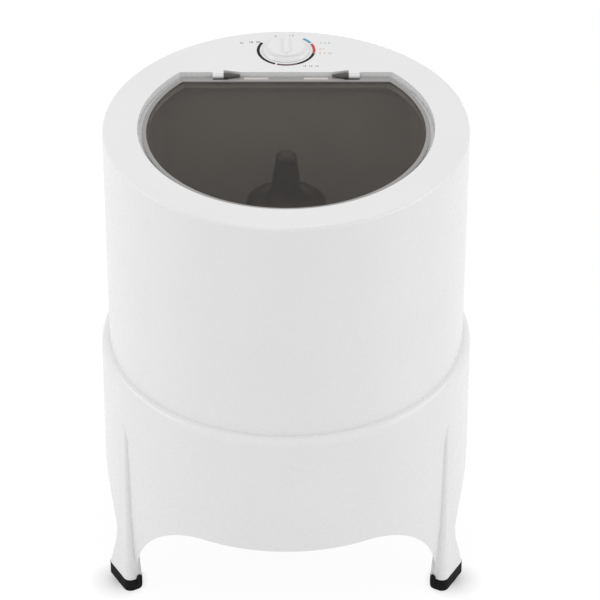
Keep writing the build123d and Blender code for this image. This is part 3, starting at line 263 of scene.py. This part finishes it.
def ink(name, color):
    """Screen-printed ink, duller than the plastic under it."""
    shader = Shader(name)
    coverage = shader.noise(2200.0, detail=2.0)
    shader.color(coverage, color, 0.9, 1.1)
    shader.roughness(coverage, 0.45, 0.55)
    shader.set(Specular_IOR_Level=0.15)
    return shader.material


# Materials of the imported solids, by the record's slot

FINISHES = {
    "white_plastic": (moulded, dict(color=(0.80, 0.80, 0.80), rough=0.26, depth=0.000015)),
    "white_plastic_inner": (moulded, dict(color=(0.72, 0.71, 0.67), rough=0.45)),
    "tub_plastic": (moulded, dict(color=(0.74, 0.73, 0.72), rough=0.36)),
    "grey_plastic": (moulded, dict(color=(0.335, 0.327, 0.318), rough=0.4, level=0.4)),
    "pale_pad": (moulded, dict(color=(0.60, 0.575, 0.555), rough=0.5)),
    "agitator_plastic": (moulded, dict(color=(0.062, 0.042, 0.034), rough=0.3, depth=0.00005)),
    "agitator_plug_plastic": (moulded, dict(color=(0.062, 0.052, 0.043), rough=0.28)),
    "hinge_plastic": (moulded, dict(color=(0.075, 0.07, 0.067), rough=0.42)),
    "fan_plastic": (moulded, dict(color=(0.03, 0.03, 0.035), rough=0.45)),
    "capacitor_can": (moulded, dict(color=(0.66, 0.66, 0.65), rough=0.4)),
    "smoked_plastic": (smoked, dict(color=(0.53, 0.50, 0.47))),
    "black_rubber": (rubber, dict(color=(0.016, 0.016, 0.016))),
    "foot_rubber": (rubber, dict(color=(0.007, 0.007, 0.007), dust_tone=1.8, level=0.12)),
    "zinc_steel": (metal, dict(color=(0.62, 0.62, 0.60), rough=0.32)),
    "shaft_steel": (metal, dict(color=(0.68, 0.68, 0.68), rough=0.22,
                                streak=(60.0, 60.0, 1500.0))),
    "motor_steel": (metal, dict(color=(0.33, 0.33, 0.34), rough=0.45,
                                streak=(40.0, 40.0, 1900.0), depth=0.0001)),
    "bearing_bronze": (metal, dict(color=(0.55, 0.36, 0.17), rough=0.4)),
    "brass_spindle": (metal, dict(color=(0.70, 0.52, 0.24), rough=0.3)),
    "cast_aluminium": (cast_metal, dict(color=(0.62, 0.62, 0.63))),
    "bracket_steel": (galvanised, dict(color=(0.56, 0.57, 0.58))),
}
materials = {slot: make(slot, **values) for slot, (make, values) in FINISHES.items()}
for entry in frame["record"]["subparts"]:
    mesh = nodes[entry["node"]].data
    mesh.materials.clear()
    mesh.materials.append(materials[entry["material_slot"]])


# Dial print, on the rim behind the lid

def on_dial(radius, azimuth):
    """Point on the dial face; azimuth 0 is the back and it grows clockwise from above."""
    return radius * sin(radians(azimuth)), DIAL_Y + radius * cos(radians(azimuth))


def dial_piece(name, mesh, ink_name):
    """A printed mark that rides on the casing."""
    mesh.materials.append(inks[ink_name])
    piece = add(name, mesh)
    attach(piece, "casing")


def dial_arc(name, start, end):
    """Thin flat mesh along part of the dial's ring."""
    count = int((end - start) / ARC_STEP)
    turns = [start + (end - start) * step / count for step in range(count + 1)]
    mesh = bpy.data.meshes.new(name)
    built = bmesh.new()
    for a, b in zip(turns, turns[1:]):
        outline = (on_dial(ARC_IN, a), on_dial(ARC_OUT, a), on_dial(ARC_OUT, b), on_dial(ARC_IN, b))
        face = built.faces.new([built.verts.new((x, y, PRINT_Z)) for x, y in outline])
        grown = bmesh.ops.extrude_face_region(built, geom=[face])
        tops = [item for item in grown["geom"] if isinstance(item, bmesh.types.BMVert)]
        bmesh.ops.translate(built, vec=(0, 0, PRINT_T), verts=tops)
    bmesh.ops.recalc_face_normals(built, faces=built.faces)
    built.to_mesh(mesh)
    built.free()
    return mesh


def dial_number(name, text, place, size):
    """Thin flat mesh of plain numbers; place is counted from the dial's centre."""
    curve = bpy.data.curves.new(name, "FONT")
    curve.body = text
    curve.size = size
    curve.align_x = "CENTER"
    curve.align_y = "CENTER"
    curve.extrude = PRINT_T / 2
    holder = add("dial_number_holder", curve)
    shaped = bpy.context.evaluated_depsgraph_get()
    mesh = bpy.data.meshes.new_from_object(holder.evaluated_get(shaped))
    bpy.data.objects.remove(holder)
    mesh.transform(Matrix.Translation((place[0], DIAL_Y + place[1], PRINT_Z + PRINT_T / 2)))
    mesh.materials.clear()
    return mesh


INKS = {
    "black_ink": (0.008, 0.008, 0.008),
    "red_ink": (0.55, 0.08, 0.08),
    "blue_ink": (0.08, 0.34, 0.45),
    "orange_ink": (0.62, 0.36, 0.22),
    "brown_ink": (0.14, 0.095, 0.095),
    "grey_ink": (0.08, 0.08, 0.085),
}
inks = {name: ink(name, color) for name, color in INKS.items()}

# Start, end, ink
ARCS = {
    "dial_arc_left": (203, 301, "black_ink"),
    "dial_arc_front": (156, 199, "brown_ink"),
    "dial_arc_right": (102, 156, "black_ink"),
    "dial_arc_red": (64, 101, "red_ink"),
    "dial_arc_blue": (38, 60, "blue_ink"),
}
for name, (start, end, ink_name) in ARCS.items():
    dial_piece(name, dial_arc(name, start, end), ink_name)

# Text, place, size, ink
NUMBERS = {
    "dial_number_zero": ("0", (-0.0150, 0.0375), NUMBER_SIZE, "grey_ink"),
    "dial_number_one": ("1 2", (0.0075, 0.0395), NUMBER_SIZE, "grey_ink"),
    "dial_number_three": ("3  4  5", (0.0545, 0.0195), NUMBER_SIZE, "blue_ink"),
    "dial_number_six": ("6 7", (0.0500, 0.0030), NUMBER_SIZE, "orange_ink"),
    "dial_number_eight": ("8  9  10", (0.0550, -0.0085), NUMBER_SIZE, "orange_ink"),
    "dial_number_twelve": ("12  14  16", (0.0340, -0.0425), NUMBER_SIZE, "grey_ink"),
    "dial_number_eighteen": ("18  20", (-0.0445, 0.0215), LARGE_NUMBER_SIZE, "grey_ink"),
    "dial_number_max": ("22", (-0.0625, 0.0195), NUMBER_SIZE, "grey_ink"),
}
for name, (text, place, size, ink_name) in NUMBERS.items():
    dial_piece(name, dial_number(name, text, place, size), ink_name)


# Floor, surroundings and light

def grey(tone):
    return tone, tone, tone, 1.0


def looked_at(tree):
    """1 for camera, mirror and see-through rays, and 0 for the rays that carry light."""
    rays = tree.node("ShaderNodeLightPath").outputs
    seen = tree.math("MAXIMUM", rays["Is Camera Ray"], rays["Is Glossy Ray"])
    return tree.math("MAXIMUM", seen, rays["Is Transmission Ray"])


def painted_shadow_whiteness(tree):
    """How white the floor looks: a painted shadow mask, least white round a point just outward of
    each foot.
    """
    here = tree.place()
    distances = []
    for foot in FEET:
        low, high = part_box(foot)
        x, y = (low[0] + high[0]) / 2, (low[1] + high[1]) / 2 - AXIS_Y
        away = tree.node("ShaderNodeVectorMath")
        away.operation = "DISTANCE"
        away.inputs[1].default_value = (x * PAINTED_SHADOW_OUT, y * PAINTED_SHADOW_OUT + AXIS_Y, 0.0)
        tree.join(here, away.inputs[0])
        distances.append(away.outputs["Value"])
    nearest = distances[0]
    for distance in distances[1:]:
        nearest = tree.math("MINIMUM", nearest, distance)
    return tree.ramp(nearest, PAINTED_SHADOW_REACH, WHITENESS)


def floor_material():
    """White to the camera and in reflections; the painted shadow mask lets real shading through
    beside the feet.
    """
    material = bpy.data.materials.new("floor")
    tree = Tree(material)
    tree.nodes.clear()
    # painted shadow: the white share is cut beside each foot, so the floor's real shading shows
    # there as its shadow
    share = tree.math("MULTIPLY", looked_at(tree), painted_shadow_whiteness(tree))
    shaded = tree.node("ShaderNodeBsdfDiffuse", Color=grey(FLOOR_TONE))
    white = tree.node("ShaderNodeEmission", Color=grey(1.0), Strength=FLOOR_GLOW)
    tree.show(share, shaded, white, "ShaderNodeOutputMaterial")
    return material


def floor():
    """Round pale floor under the machine."""
    mesh = bpy.data.meshes.new("floor")
    built = bmesh.new()
    turns = [radians(360 / FLOOR_CORNERS * corner) for corner in range(FLOOR_CORNERS)]
    ring = [built.verts.new((FLOOR_R * cos(turn), FLOOR_R * sin(turn), 0)) for turn in turns]
    built.faces.new(ring)
    built.to_mesh(mesh)
    built.free()
    mesh.materials.append(floor_material())
    ground = add("floor", mesh)


def sky():
    """White where it's seen, plain grey as light."""
    world = bpy.data.worlds.new("studio")
    bpy.context.scene.world = world
    tree = Tree(world)
    tree.nodes.clear()
    fill = tree.node("ShaderNodeBackground", Color=grey(FILL))
    white = tree.node("ShaderNodeBackground", Color=grey(1.0))
    tree.show(looked_at(tree), fill, white, "ShaderNodeOutputWorld")


def lamp(name, place):
    """Long soft box facing the machine."""
    data = bpy.data.lights.new(name, "AREA")
    data.shape = "RECTANGLE"
    data.size, data.size_y = LAMP_SIZE
    data.energy = LAMP_WATTS
    light = add(name, data)
    light.location = place
    way = Vector(LAMP_AIM) - Vector(place)
    light.rotation_euler = way.to_track_quat("-Z", "Y").to_euler()


floor()
sky()
for name, place in LAMPS.items():
    lamp(name, place)

camera = add("camera", bpy.data.cameras.new("camera"))
camera.location = (0.0, AXIS_Y - CAMERA_BACK, RIM_Z + CAMERA_ABOVE_RIM)
camera.rotation_euler = (radians(CAMERA_PITCH), 0.0, 0.0)
camera.data.sensor_width = SENSOR
camera.data.lens = FOCAL_PX / FRAME_PX * SENSOR
camera.data.shift_x = (FRAME_PX / 2 - AXIS_PX) / FRAME_PX
bpy.context.scene.camera = camera
bpy.context.scene.view_settings.view_transform = "Standard"
